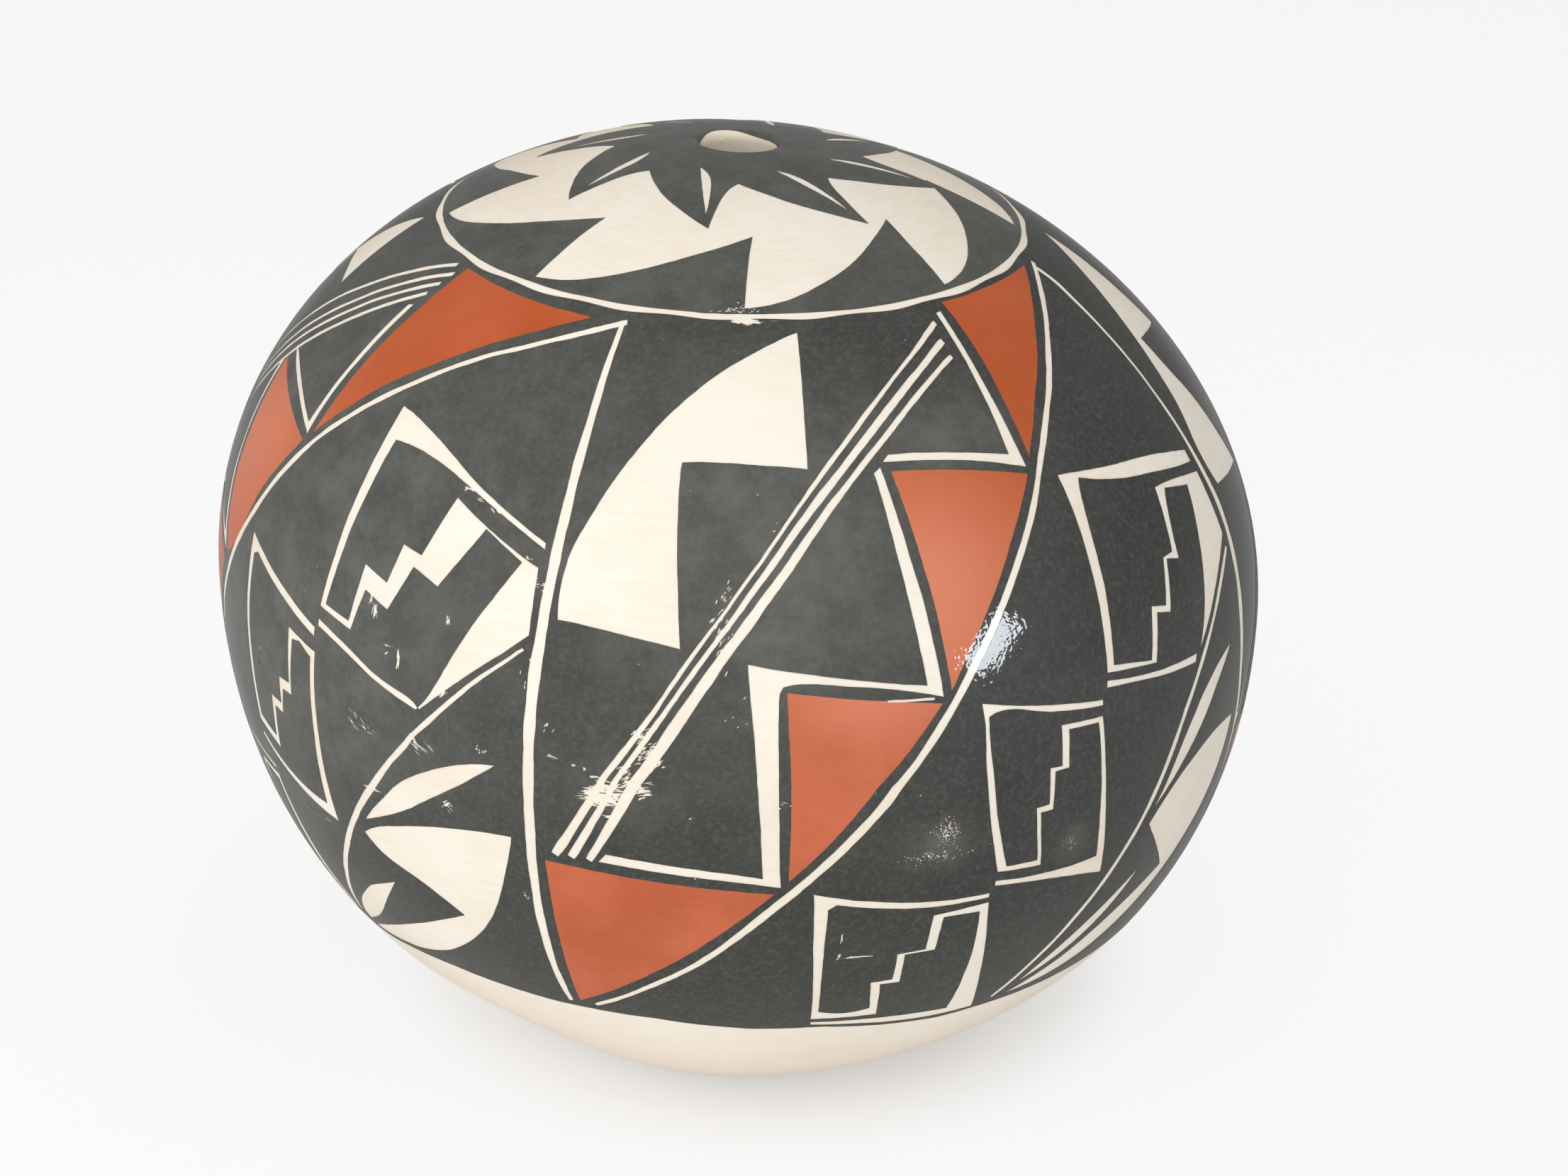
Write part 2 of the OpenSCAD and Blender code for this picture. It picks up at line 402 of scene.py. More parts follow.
LEFT_BARE = [
    LEFT_WING, LEFT_UPPER_ZIGZAG, LEFT_LOWER_ZIGZAG, LEFT_TOP_STEP, LEFT_MIDDLE_STEP, FRONT_LOW_STEP,
    LEFT_UPPER_BLADE, LEFT_LEAF, LEFT_LOWER_BLADE,
]
RIGHT_WING = [
    (23.8, 97), (23.4, 92), (22.6, 86), (22.8, 79.1), (15, 80.6), (9.7, 81.4), (10.5, 76), (12.4, 71.5),
    (15.4, 63.6), (18, 58.5), (10, 60.2), (3.7, 61.3), (2.4, 66.9), (4.2, 72.8), (6.4, 79.8), (9.2, 85.2),
    (12.8, 89.6), (17.4, 93.4),
]
RIGHT_DIVIDER = (
    (1.7, 1.05, 0.8, 0.95, 1.3, 1.6, 1.6, 1.5, 1.2, 1.1, 1.05, 0.8),
    [
        (0.3, 97.4), (0.9, 94.4), (0.4, 91.7), (0, 87), (-0.2, 77), (0.1, 70.4), (0.6, 65), (1.3, 58.5),
        (1.2, 51), (0.8, 42), (1.1, 36), (1.8, 30.9), (1.6, 18), (0.7, 8), (-0.3, 2),
    ],
)
RIGHT_LOW_RED = [(4.8, 26.8), (15, 26.2), (27, 25.5), (20, 18.5), (12, 10.4), (5.2, 4.3), (4.9, 15)]
FRONT = {"bare": FRONT_BARE, "strokes": FRONT_STROKES, "red": FRONT_RED}
RIGHT = {
    "bare": [RIGHT_WING] + FRONT_BARE[1:],
    "strokes": [RIGHT_DIVIDER] + FRONT_STROKES[1:],
    "red": FRONT_RED[:3] + [RIGHT_LOW_RED],
}
LEFT = {"bare": LEFT_BARE, "strokes": LEFT_STROKES, "red": LEFT_RED}
# Start azimuth, width and motifs of each panel
FRONT_AZ, RIGHT_AZ, BACK_AZ, LEFT_AZ = -20, 67, 160, 253
PANELS = [(FRONT_AZ, 87, FRONT), (RIGHT_AZ, 93, RIGHT), (BACK_AZ, 93, LEFT), (LEFT_AZ, 87, LEFT)]

# Where the paint is scuffed to the slip: panel start azimuth, then p, s, reach in p and s,
# number of scratches, their length and their slant in degrees
SCUFFS = [
    (FRONT_AZ, [
        (7.8, 36.2, 1.0, 0.5, 120, 2.2, 0), (6.6, 36.0, 0.5, 0.35, 25, 1.4, 0),
        (8.6, 37.3, 0.9, 0.3, 30, 1.5, 0), (12.4, 37.3, 0.5, 0.5, 26, 1.3, 10),
        (10.6, 39.0, 0.4, 0.8, 34, 0.9, 30), (12.2, 42.0, 0.3, 0.8, 18, 0.9, 30),
        (13.6, 41.7, 0.5, 0.9, 110, 0.9, 40), (12.3, 44.5, 0.5, 0.5, 34, 1.0, 40),
        (6.9, 38.3, 0.15, 0.05, 6, 1.6, 5), (4.7, 39.4, 0.1, 0.06, 6, 0.5, 20),
        (5.9, 39.2, 0.1, 0.1, 6, 0.6, -40), (2.2, 40.1, 0.3, 0.08, 6, 1.2, -20),
        (8.6, 34.0, 0.2, 0.12, 6, 1.6, 0), (2, 43.9, 0.4, 0.6, 4, 0.8, 60),
        (21, 58.5, 0.5, 1.6, 40, 0.9, 60), (21.5, 63.4, 0.6, 0.7, 10, 0.8, 60),
        (22.2, 48.5, 1, 1.5, 5, 0.5, 60), (27.6, 36.5, 0.5, 0.4, 4, 0.8, 0),
        (45.2, 2.6, 0.3, 0.3, 6, 0.9, 0), (24.5, 99.3, 1.3, 0.18, 110, 2.4, 0),
        (0.8, 7.5, 0.6, 0.4, 7, 0.8, 0), (46.8, 32.2, 0.7, 0.8, 150, 0.3, 30),
        (45.6, 29.2, 1.7, 0.4, 90, 0.3, 0), (37.6, 15.2, 0.9, 0.05, 12, 3.2, 2),
        (35.2, 18.4, 0.05, 0.4, 4, 1.4, 85), (35.1, 15.6, 0.1, 0.25, 5, 1.0, 60),
    ]),
    (LEFT_AZ, [
        (76.8, 54.3, 0.1, 0.3, 6, 1.8, 92), (77.7, 52.9, 0.25, 0.35, 14, 2.6, 92),
        (82.1, 47.9, 0.1, 0.4, 12, 2.7, 92), (80.3, 48.3, 0.12, 0.15, 7, 0.5, 50),
        (80.4, 49.2, 0.6, 0.05, 8, 0.45, 0), (88.4, 55.1, 0.1, 0.15, 5, 1.4, 90),
        (75.7, 37, 0.5, 0.5, 12, 1.6, -45), (77.6, 36.8, 0.8, 0.3, 10, 1.3, -30),
        (85, 37.1, 0.7, 0.4, 16, 1.6, -35), (88.7, 45.4, 0.3, 0.3, 8, 1.3, 70),
        (93.6, 38.9, 0.4, 0.3, 8, 0.7, 60), (54.7, 37.4, 0.4, 0.8, 9, 1, 80),
        (99.3, 62.3, 0.8, 0.5, 12, 1.1, 0), (87.2, 71.8, 0.5, 0.12, 9, 0.9, -22),
        (89.5, 71.0, 0.35, 0.1, 4, 0.9, -22), (77.5, 29.4, 0.8, 0.06, 8, 2.6, 12),
        (88.4, 31, 0.35, 0.3, 9, 1.2, 45), (88.7, 31, 0.35, 0.3, 8, 1.2, -45),
        (62, 20.5, 0.7, 0.5, 10, 1, 0), (66.5, 20.3, 0.7, 0.4, 8, 0.9, 0),
        (99.2, 49, 0.5, 3, 10, 0.6, 80),
    ]),
    (RIGHT_AZ, [(30, 62, 2, 1.5, 14, 1, 60), (72, 33, 2, 1, 16, 1, 0)]),
    (BACK_AZ, [(22, 44, 2, 1.2, 20, 1.2, 0), (63, 70, 2, 2, 10, 0.8, 60)]),
    (FRONT_AZ, [(64.3, 26.8, 0.5, 0.6, 46, 0.3, 30)]),
    (LEFT_AZ, [
        (97.6, 21, 0.3, 0.4, 5, 1.2, -40), (91.7, 49.1, 0.05, 0.12, 4, 0.5, 90),
        (93.8, 51.2, 0.05, 0.12, 4, 0.5, 90), (86.6, 71.6, 0.08, 0.2, 4, 0.7, 80),
        (97.4, 65.05, 0.25, 0.1, 5, 0.6, -24), (91.8, 70.0, 0.35, 0.1, 4, 0.9, -22),
    ]),
]
# Degrees round the pot for one p of these places
P_DEG = 0.87
SCUFF_SEED = 7
SPECKS, SPECK_LENGTH = 150, 0.4
SPECK_LOW, SPECK_HIGH = 2, 98
# One scratch: points of its outline, their reach, half length as a share, half width, spread of its slant
SCRATCH_POINTS = 8
SCRATCH_UNEVEN = (0.85, 1.15)
SCRATCH_HALF = (0.2, 0.5)
SCRATCH_THICK = (0.05, 0.1)
SCRATCH_TILT = 0.13
# Where the black paint is lighter: small places of dulled paint, broad places of painted sheen; panel start
# azimuth, p, s, reach in p and s, and how much
DULLED_AND_SHEEN = [
    (FRONT_AZ, 12, 72, 46, 28, 0.5), (FRONT_AZ, 29, 66, 15, 22, 0.7), (LEFT_AZ, 52, 68, 42, 44, 0.85),
    (FRONT_AZ, 9, 37, 6, 4, 0.5), (FRONT_AZ, 46.5, 31, 4, 2.5, 0.8), (LEFT_AZ, 80, 47, 8, 8, 0.4),
    (LEFT_AZ, 80, 33, 8, 4, 0.4), (LEFT_AZ, 60, 22, 8, 3, 0.4), (BACK_AZ, 40, 55, 40, 30, 0.4),
    (FRONT_AZ, 64.3, 27, 1.8, 1.8, 0.8), (FRONT_AZ, 54, 82, 12, 6, 0.8), (LEFT_AZ, 66, 40, 22, 14, 0.4),
]
# Where the red paint is lighter, written in the same way: faded paint, and a painted highlight on the
# front's middle field beside the glint
FADED_AND_SHEEN = [
    (FRONT_AZ, 46.5, 63, 12, 15, 1.0), (FRONT_AZ, 35, 50, 10, 6, 0.6), (LEFT_AZ, 42, 65, 16, 14, 0.85),
    (RIGHT_AZ, 36, 44, 12, 12, 0.6), (BACK_AZ, 48, 60, 14, 14, 0.7),
]

# The band's lower edge: azimuth and s
BAND_EDGE = [
    (-107, 0.2), (-56, -1.7), (-50, -1.1), (-46, -0.1), (-37, 1.1), (-22, 1), (-10, 1.35), (1, 0.45),
    (10, 0.75), (18, -0.33), (25, -0.95), (34, -0.55), (43, -0.2), (50, 0.2), (67, 0.6), (110, 0.1),
    (150, 0.9), (200, 0.3), (235, 0.8),
]
# The line round the crown: half its width, and the waves of its lower edge
RING_GAP = 0.43
RING_WAVE, RING_WAVES = 0.15, 23
PLAN_MARGIN = 12
EDGE_SEED = 2
PANEL_SEED = 3.7


def panel_to_plan(points, start, width):
    return [((start + width * p / 100) / U_DEG, s) for p, s in points]


def scratch(rng, middle, length, slant):
    """The outline of one short thin scratch."""
    turns = np.arange(SCRATCH_POINTS) * 2 * math.pi / SCRATCH_POINTS
    reach = rng.uniform(*SCRATCH_UNEVEN, SCRATCH_POINTS)
    x = length * rng.uniform(*SCRATCH_HALF) * reach * np.cos(turns)
    y = rng.uniform(*SCRATCH_THICK) * reach * np.sin(turns)
    tilt = math.radians(slant) + rng.normal(0, SCRATCH_TILT)
    across = x * math.cos(tilt) - y * math.sin(tilt)
    along = x * math.sin(tilt) + y * math.cos(tilt)
    return middle + np.stack([across, along], axis=1)


def scuffs():
    """Scratches and specks over the whole band."""
    rng = np.random.default_rng(SCUFF_SEED)
    marks = []
    for start, places in SCUFFS:
        for p, s, reach_p, reach_s, count, length, slant in places:
            middle = np.array([(start + P_DEG * p) / U_DEG, s])
            for _ in range(count):
                marks.append(scratch(rng, middle + rng.normal(0, (reach_p, reach_s)), length, slant))
    for _ in range(SPECKS):
        middle = rng.uniform((SEAM_U, SPECK_LOW), (SEAM_U + ROUND, SPECK_HIGH))
        marks.append(scratch(rng, middle, SPECK_LENGTH, rng.uniform(0, 180)))
    return marks


def band_layers():
    """Outlines on the band's plan, each with its paint; a later one covers an earlier one."""
    first, last = SEAM_U - PLAN_MARGIN, SEAM_U + ROUND + PLAN_MARGIN
    steps = np.arange(first, last, STEP)
    low = np.stack([steps, np.interp(steps * U_DEG, *zip(*BAND_EDGE), period=360)], axis=1)
    waves = RING_WAVE * np.sin(np.radians(RING_WAVES * steps * U_DEG))
    high = np.stack([steps, 100 - RING_GAP + waves], axis=1)
    layers = [("black_paint", np.concatenate([wobble(low, EDGE_SEED), high[::-1]]))]
    layers += repeated([("bare", mark) for mark in scuffs()], first, last)
    for number, (start, width, motifs) in enumerate(PANELS):
        loops = []
        seed = PANEL_SEED * number
        for paint, group in (("red_paint", "red"), ("bare", "bare")):
            for points in motifs[group]:
                loops.append((paint, wobble(curve(panel_to_plan(points, start, width)), seed)))
        for widths, points in motifs["strokes"]:
            line = stroke(panel_to_plan(points, start, width), widths, seed)
            loops.append(("bare", wobble(line, seed)))
        layers += repeated(loops, first, last)
    return layers


def repeated(loops, first, last):
    """Loops moved a whole turn either way where that brings them into the plan."""
    return [
        (paint, loop + [turn, 0])
        for paint, loop in loops for turn in (-ROUND, 0, ROUND)
        if loop[:, 0].max() + turn > first and loop[:, 0].min() + turn < last
    ]


# The crown: a running border of waves inside the line, and a pinwheel of eight feathers round the mouth
WAVES = 9
WAVE_START = 1.0
WAVE = [(0, 0), (8, 1.2), (19, 4.6), (29.5, 8.4), (42.5, 12.4), (41.2, 8)]
BORDER = 1.3
FEATHERS = 8
FEATHER = [(0, 17), (9, 19.3), (20, 22.8), (37, 28.5), (38, 23.8), (40.5, 19.4)]
FEATHER_SLOT = [(22, 13), (28, 17), (34, 23.5), (35.2, 25.5), (34.2, 20), (30.5, 15.5)]
MOUTH_BARE = 5.38
MOUTH_GAP, MOUTH_GAP_AT, MOUTH_GAP_WIDE = 0.8, 205, 32
MOUTH_STEP = 6
LIP_LINES = (5.6, 5.9, 6.3, 6.9)
RIM_STEP = 2
FEWEST_POINTS = 40
RIM_SEED, FIELD_SEED, STAR_SEED, SLOT_SEED, LIP_SEED = 5, 9, 13, 21, 0
# Flecks by the crown's line: number, place and spread in degrees, inset and its spread, length and slants
FLECKS, FLECK_SEED = 34, 11
FLECK_AT, FLECK_WIDE = -0.5, 2.2
FLECK_INSET, FLECK_DEEP = 0.2, 0.5
FLECK_LENGTH = 0.6
FLECK_SLANT = (-20, 50)


def polar(points):
    return [(r * math.sin(math.radians(a)), -r * math.cos(math.radians(a))) for a, r in points]


def ring_radius(angle):
    """Plan radius of the line round the crown."""
    az = math.radians(angle)
    return POT_R * math.cos(float(ring_angle(az)))


def circle(radius, seed):
    count = max(FEWEST_POINTS, round(2 * math.pi * radius / STEP))
    return wobble(np.array(polar([(360 * i / count, radius) for i in range(count)])), seed)


def crown_layers():
    """Outlines on the crown's plan in millimetres, each with its paint."""
    rim = [(a, ring_radius(a) - RING_GAP) for a in range(0, 360, RIM_STEP)]
    layers = [("black_paint", wobble(np.array(polar(rim)), RIM_SEED))]
    rng = np.random.default_rng(FLECK_SEED)
    for _ in range(FLECKS):
        angle = rng.normal(FLECK_AT, FLECK_WIDE)
        inset = RING_GAP + FLECK_INSET + abs(rng.normal(0, FLECK_DEEP))
        middle = np.array(polar([(angle, ring_radius(angle) - inset)])[0])
        layers.append(("bare", scratch(rng, middle, FLECK_LENGTH, rng.uniform(*FLECK_SLANT))))
    field = []
    for k in range(WAVES):
        turn = WAVE_START + 360 / WAVES * k
        field += [(turn + a, ring_radius(turn + a) - BORDER - depth) for a, depth in WAVE]
    layers.append(("bare", wobble(curve(polar(field)), FIELD_SEED)))
    star = []
    slots = []
    for k in range(FEATHERS):
        turn = 360 / FEATHERS * k
        star += [(turn + a, r) for a, r in FEATHER]
        slots.append(wobble(curve(polar([(turn + a, r) for a, r in FEATHER_SLOT])), SLOT_SEED + k))
    layers.append(("black_paint", wobble(curve(polar(star)), STAR_SEED)))
    layers += [("bare", slot) for slot in slots]
    mouth = []
    for a in range(0, 360, MOUTH_STEP):
        gap = MOUTH_GAP * math.exp(-(((a - MOUTH_GAP_AT) / MOUTH_GAP_WIDE) ** 2))
        mouth.append((a, MOUTH_BARE + gap))
    layers.append(("bare", np.array(polar(mouth))))
    return layers


# Paint films as thin closed shells that lie on the slip
SPACING = 2.3
CLEAR = 0.75
TINY = 1e-5
WELD = 1e-3
SMALLEST_WALL = 1e-12


def winding(points, loop):
    """How often a closed loop runs round each point."""
    a, b = loop, np.roll(loop, -1, axis=0)
    turns = np.zeros(len(points), int)
    low, high = loop.min(axis=0), loop.max(axis=0)
    near = np.flatnonzero(((points >= low) & (points <= high)).all(axis=1))
    if not len(near):
        return turns
    x, y = points[near, 0][:, None], points[near, 1][:, None]
    side = (b[:, 0] - a[:, 0]) * (y - a[:, 1]) - (x - a[:, 0]) * (b[:, 1] - a[:, 1])
    upward = (a[:, 1] <= y) & (b[:, 1] > y) & (side > 0)
    downward = (a[:, 1] > y) & (b[:, 1] <= y) & (side < 0)
    turns[near] = upward.sum(axis=1) - downward.sum(axis=1)
    return turns


def triangulate(layers, lines):
    """Triangles over the plan that keep every outline and every extra line as edges."""
    points, edges = [], []
    for loop, closed in [(loop, True) for _, loop in layers] + [(line, False) for line in lines]:
        first = len(points)
        points += [tuple(p) for p in loop]
        count = len(loop)
        edges += [(first + i, first + (i + 1) % count) for i in range(count if closed else count - 1)]
    tree = KDTree(len(points))
    for i, (x, y) in enumerate(points):
        tree.insert((x, y, 0), i)
    tree.balance()
    base = layers[0][1]
    low, high = base.min(axis=0), base.max(axis=0)
    row = SPACING * math.sqrt(3) / 2
    for j in range(int((high[1] - low[1]) / row) + 1):
        for i in range(int((high[0] - low[0]) / SPACING) + 1):
            x, y = low[0] + SPACING * (i + 0.5 * (j % 2)), low[1] + row * j
            if tree.find((x, y, 0))[2] > CLEAR:
                points.append((x, y))
    found = delaunay_2d_cdt([Vector(p) for p in points], edges, [], 0, TINY, False)
    return np.array([v[:] for v in found[0]]), np.array([f for f in found[2] if len(f) == 3])


def film(name, flat, faces, to_pot):
    """A closed shell over some triangles of a plan, with the true surface's normals on top."""
    used, faces = np.unique(faces, return_inverse=True)
    faces = faces.reshape(-1, 3)
    flat = flat[used]
    count = len(flat)
    step = 0.02
    across = to_pot(flat + [step, 0], PAINT_TOP) - to_pot(flat - [step, 0], PAINT_TOP)
    up = to_pot(flat + [0, step], PAINT_TOP) - to_pot(flat - [0, step], PAINT_TOP)
    normals = np.cross(across, up)
    normals /= np.linalg.norm(normals, axis=1)[:, None]
    points = np.concatenate([to_pot(flat, PAINT_TOP), to_pot(flat, PAINT_UNDER)]) * MM
    half = np.concatenate([faces[:, [0, 1]], faces[:, [1, 2]], faces[:, [2, 0]]])
    key = half[:, 0] * count + half[:, 1]
    back = half[:, 1] * count + half[:, 0]
    rim = half[~np.isin(key, back)]
    walls = np.concatenate([
        np.stack([rim[:, 1], rim[:, 0], rim[:, 0] + count], axis=1),
        np.stack([rim[:, 1], rim[:, 0] + count, rim[:, 1] + count], axis=1),
    ])
    every = np.concatenate([faces, faces[:, ::-1] + count, walls])
    mesh = bpy.data.meshes.new(name)
    mesh.from_pydata(points, [], every.tolist())
    mesh.update()
    a, b, c = (points[walls[:, i]] for i in range(3))
    wall_normals = np.cross(b - a, c - a)
    wall_normals /= np.maximum(np.linalg.norm(wall_normals, axis=1)[:, None], SMALLEST_WALL)
    corner_normals = np.concatenate([
        normals[faces].reshape(-1, 3),
        -normals[faces[:, ::-1]].reshape(-1, 3),
        np.repeat(wall_normals, 3, axis=0),
    ])
    mesh.normals_split_custom_set(corner_normals.tolist())
    return mesh, np.concatenate([flat, flat])


def weld(flat, faces, period):
    """Joins the two ends of a plan that closes on itself, and drops triangles that fold to a line."""
    wrapped = flat.copy()
    wrapped[flat[:, 0] > SEAM_U + period - WELD, 0] -= period
    key = np.round(wrapped / WELD).astype(int)
    _, first, same = np.unique(key, axis=0, return_index=True, return_inverse=True)
    joined = same.reshape(-1)[faces]
    whole = (joined != np.roll(joined, 1, axis=1)).all(axis=1)
    return flat[first], joined[whole]


def paint_films(layers, lines, to_pot, keep):
    """One mesh for each paint of a plan."""
    flat, faces = triangulate(layers, lines)
    middle = flat[faces].mean(axis=1)
    paint = np.full(len(faces), "bare", dtype="U12")
    for name, loop in layers:
        paint[winding(middle, loop) != 0] = name
    inside = keep(middle)
    return {
        name: film(name, *keep_seam(flat, faces[inside & (paint == name)], to_pot), to_pot)
        for name in ("black_paint", "red_paint") if (inside & (paint == name)).any()
    }


def keep_seam(flat, faces, to_pot):
    """Welds the band's plan at its seam; the crown's plan has none."""
    return weld(flat, faces, ROUND) if to_pot is on_band else (flat, faces)


# Materials
def srgb(r, g, b):
    """A colour as read on screen, from 0 to 255, as linear light."""
    return tuple(
        (c / 255 / 12.92 if c <= 10 else ((c / 255 + 0.055) / 1.055) ** 2.4) for c in (r, g, b)
    ) + (1.0,)


# Ripples in the polish: depth in metres, and scale and share of the broad and the fine ones
RIPPLE = 0.00004
BROAD_RIPPLES, BROAD_SHARE = 450, 0.5
FINE_RIPPLES, FINE_SHARE = 1500, 0.55


class Shader:
    """A short way to write the nodes of one material."""

    def __init__(self, name):
        self.material = bpy.data.materials.new(name)
        self.material.use_nodes = True
        self.tree = self.material.node_tree
        self.surface = self.tree.nodes["Principled BSDF"]
        self.place = self.add("ShaderNodeTexCoord").outputs["Object"]

    def add(self, kind, **settings):
        node = self.tree.nodes.new(kind)
        for key, value in settings.items():
            setattr(node, key, value)
        return node

    def put(self, socket, value):
        if hasattr(value, "links"):
            self.tree.links.new(value, socket)
        else:
            socket.default_value = value

    def math(self, operation, a, b=0.0):
        node = self.add("ShaderNodeMath", operation=operation)
        self.put(node.inputs[0], a)
        self.put(node.inputs[1], b)
        return node.outputs[0]

    def weigh(self, a, share_a, b, share_b):
        """The sum of two values, each times its share."""
        first = self.math("MULTIPLY", a, share_a)
        return self.math("ADD", first, self.math("MULTIPLY", b, share_b))

    def ramp(self, value, low, high, start=0.0, stop=1.0):
        node = self.add("ShaderNodeMapRange", interpolation_type="SMOOTHSTEP")
        for socket, given in zip(node.inputs, (value, low, high, start, stop)):
            self.put(socket, given)
        return node.outputs[0]

    def mix(self, factor, a, b):
        node = self.add("ShaderNodeMix", data_type="RGBA")
        for key, given in zip((0, 6, 7), (factor, a, b)):
            self.put(node.inputs[key], given)
        return node.outputs[2]

    def noise(self, scale, detail=3.0, roughness=0.55, place=None):
        node = self.add("ShaderNodeTexNoise")
        self.put(node.inputs["Vector"], place or self.place)
        for key, value in (("Scale", scale), ("Detail", detail), ("Roughness", roughness)):
            node.inputs[key].default_value = value
        return node.outputs["Fac"]

    def axes(self):
        """The place along X, Y and Z in metres."""
        parts = self.add("ShaderNodeSeparateXYZ")
        self.put(parts.inputs[0], self.place)
        return parts.outputs

    def brushed(self, across, along, detail=4.0, roughness=0.6):
        """Noise drawn out round the pot, as brush and polishing marks are."""
        x, y, z = self.axes()
        radius = self.math("SQRT", self.weigh(x, x, y, y))
        turn = self.math("ARCTAN2", self.math("SUBTRACT", z, WIDEST_Z * MM), radius)
        join = self.add("ShaderNodeCombineXYZ")
        self.put(join.inputs[0], self.math("MULTIPLY", self.math("DIVIDE", x, radius), along))
        self.put(join.inputs[1], self.math("MULTIPLY", self.math("DIVIDE", y, radius), along))
        self.put(join.inputs[2], self.math("MULTIPLY", turn, across))
        return self.noise(1.0, detail, roughness, join.outputs[0])

    def attribute(self, name):
        return self.add("ShaderNodeAttribute", attribute_name=name).outputs["Fac"]

    def ripples(self):
        """Broad and fine unevenness of the polish, which tears a glint's edge."""
        broad = self.noise(BROAD_RIPPLES, detail=1.0)
        fine = self.noise(FINE_RIPPLES, detail=1.0)
        return self.weigh(broad, BROAD_SHARE, fine, FINE_SHARE)

    def bumped(self, height, depth):
        node = self.add("ShaderNodeBump")
        node.inputs["Strength"].default_value = 1.0
        node.inputs["Distance"].default_value = depth
        self.put(node.inputs["Height"], height)
        return node.outputs[0]

    def finish(self, colour, roughness, bump, depth, shine):
        self.put(self.surface.inputs["Base Color"], colour)
        self.put(self.surface.inputs["Roughness"], roughness)
        self.put(self.surface.inputs["Normal"], self.bumped(bump, depth))
        self.put(self.surface.inputs["Coat Normal"], self.bumped(self.ripples(), RIPPLE))
        for key, value in shine.items():
            self.surface.inputs[key].default_value = value
        return self.material


SLIP_PALE = srgb(250, 242, 228)
SLIP_WARM = srgb(240, 223, 200)
SLIP_PINK_AND_BOUNCE = srgb(253, 238, 224)
SLIP_TAN = srgb(236, 213, 176)
# The blacks are set lighter than the bare paint: the lift is painted sheen in place of the soft lamps'
# reflections
BLACK_DEEP = srgb(56, 57, 54)
BLACK_WORN = srgb(66, 67, 64)
BLACK_DULL_AND_SHEEN = srgb(110, 110, 105)
RED_DEEP = srgb(186, 92, 56)
RED_PALE = srgb(207, 112, 78)
RED_TOWARDS_TOP = srgb(180, 78, 22)
RED_FADED_AND_SHEEN = srgb(221, 133, 102)
CLAY_PALE = srgb(222, 208, 188)
CLAY_DARK = srgb(176, 160, 140)
# Heights in metres between which a tint grows, and places from front to back for the tan of the crown; the
# pink towards the base is the slip's own tint, made lighter as painted bounce light from the table
PINK_FROM, PINK_TO = 0.034, 0.006
TAN_FROM, TAN_TO = 0.108, 0.12
TAN_FRONT, TAN_BACK = -0.02, 0.03
RED_TOP_FROM, RED_TOP_TO = 0.075, 0.108


def slip_material():
    s = Shader("slip")
    brush = s.brushed(70, 7)
    mottle = s.noise(48, detail=5.0, roughness=0.6)
    warm = s.ramp(s.weigh(brush, 0.35, mottle, 0.65), 0.36, 0.72)
    colour = s.mix(s.math("MULTIPLY", warm, 0.7), SLIP_PALE, SLIP_WARM)
    # Pinker and lighter towards the base: the slip's tint, and painted bounce light from the table
    colour = s.mix(s.ramp(s.axes()["Z"], PINK_FROM, PINK_TO, stop=0.7), colour, SLIP_PINK_AND_BOUNCE)
    high = s.ramp(s.axes()["Z"], TAN_FROM, TAN_TO, stop=0.6)
    crown = s.math("MULTIPLY", high, s.ramp(s.axes()["Y"], TAN_FRONT, TAN_BACK))
    colour = s.mix(crown, colour, SLIP_TAN)
    specks = s.ramp(s.noise(900, detail=2.0), 0.73, 0.8, stop=0.35)
    colour = s.mix(specks, colour, SLIP_WARM)
    polish = s.brushed(150, 9, detail=3.0)
    rough = s.ramp(s.weigh(polish, 0.5, mottle, 0.5), 0.3, 0.7, start=0.42, stop=0.6)
    bump = s.weigh(polish, 0.5, s.noise(420, detail=3.0), 0.6)
    shine = {"Specular IOR Level": 0.3, "Coat Weight": 0.2, "Coat Roughness": 0.07}
    return s.finish(colour, rough, bump, depth=0.00008, shine=shine)


# The shine of both paints
PAINT_SHINE = {"Specular IOR Level": 0.06, "Coat Weight": 0.28, "Coat Roughness": 0.03}


def black_material():
    s = Shader("black_paint")
    brush = s.brushed(70, 26)
    cloud = s.noise(42, detail=5.0, roughness=0.6)
    grain = s.noise(1400, detail=3.0, roughness=0.6)
    thin = s.ramp(s.weigh(brush, 0.3, cloud, 0.7), 0.34, 0.7)
    colour = s.mix(thin, BLACK_DEEP, BLACK_WORN)
    colour = s.mix(s.ramp(grain, 0.42, 0.75, stop=0.3), colour, BLACK_DULL_AND_SHEEN)
    patchy = s.ramp(s.noise(150, detail=5.0, roughness=0.7), 0.35, 0.7, start=0.4, stop=0.85)
    # Lighter patches where the places' attribute is high: dulled paint and painted sheen
    colour = s.mix(s.math("MULTIPLY", s.attribute("rub_and_sheen"), patchy), colour, BLACK_DULL_AND_SHEEN)
    rough = s.ramp(s.weigh(cloud, 0.5, grain, 0.5), 0.3, 0.7, start=0.42, stop=0.58)
    bump = s.weigh(s.noise(520, detail=4.0), 0.7, brush, 0.3)
    return s.finish(colour, rough, bump, depth=0.00006, shine=PAINT_SHINE)


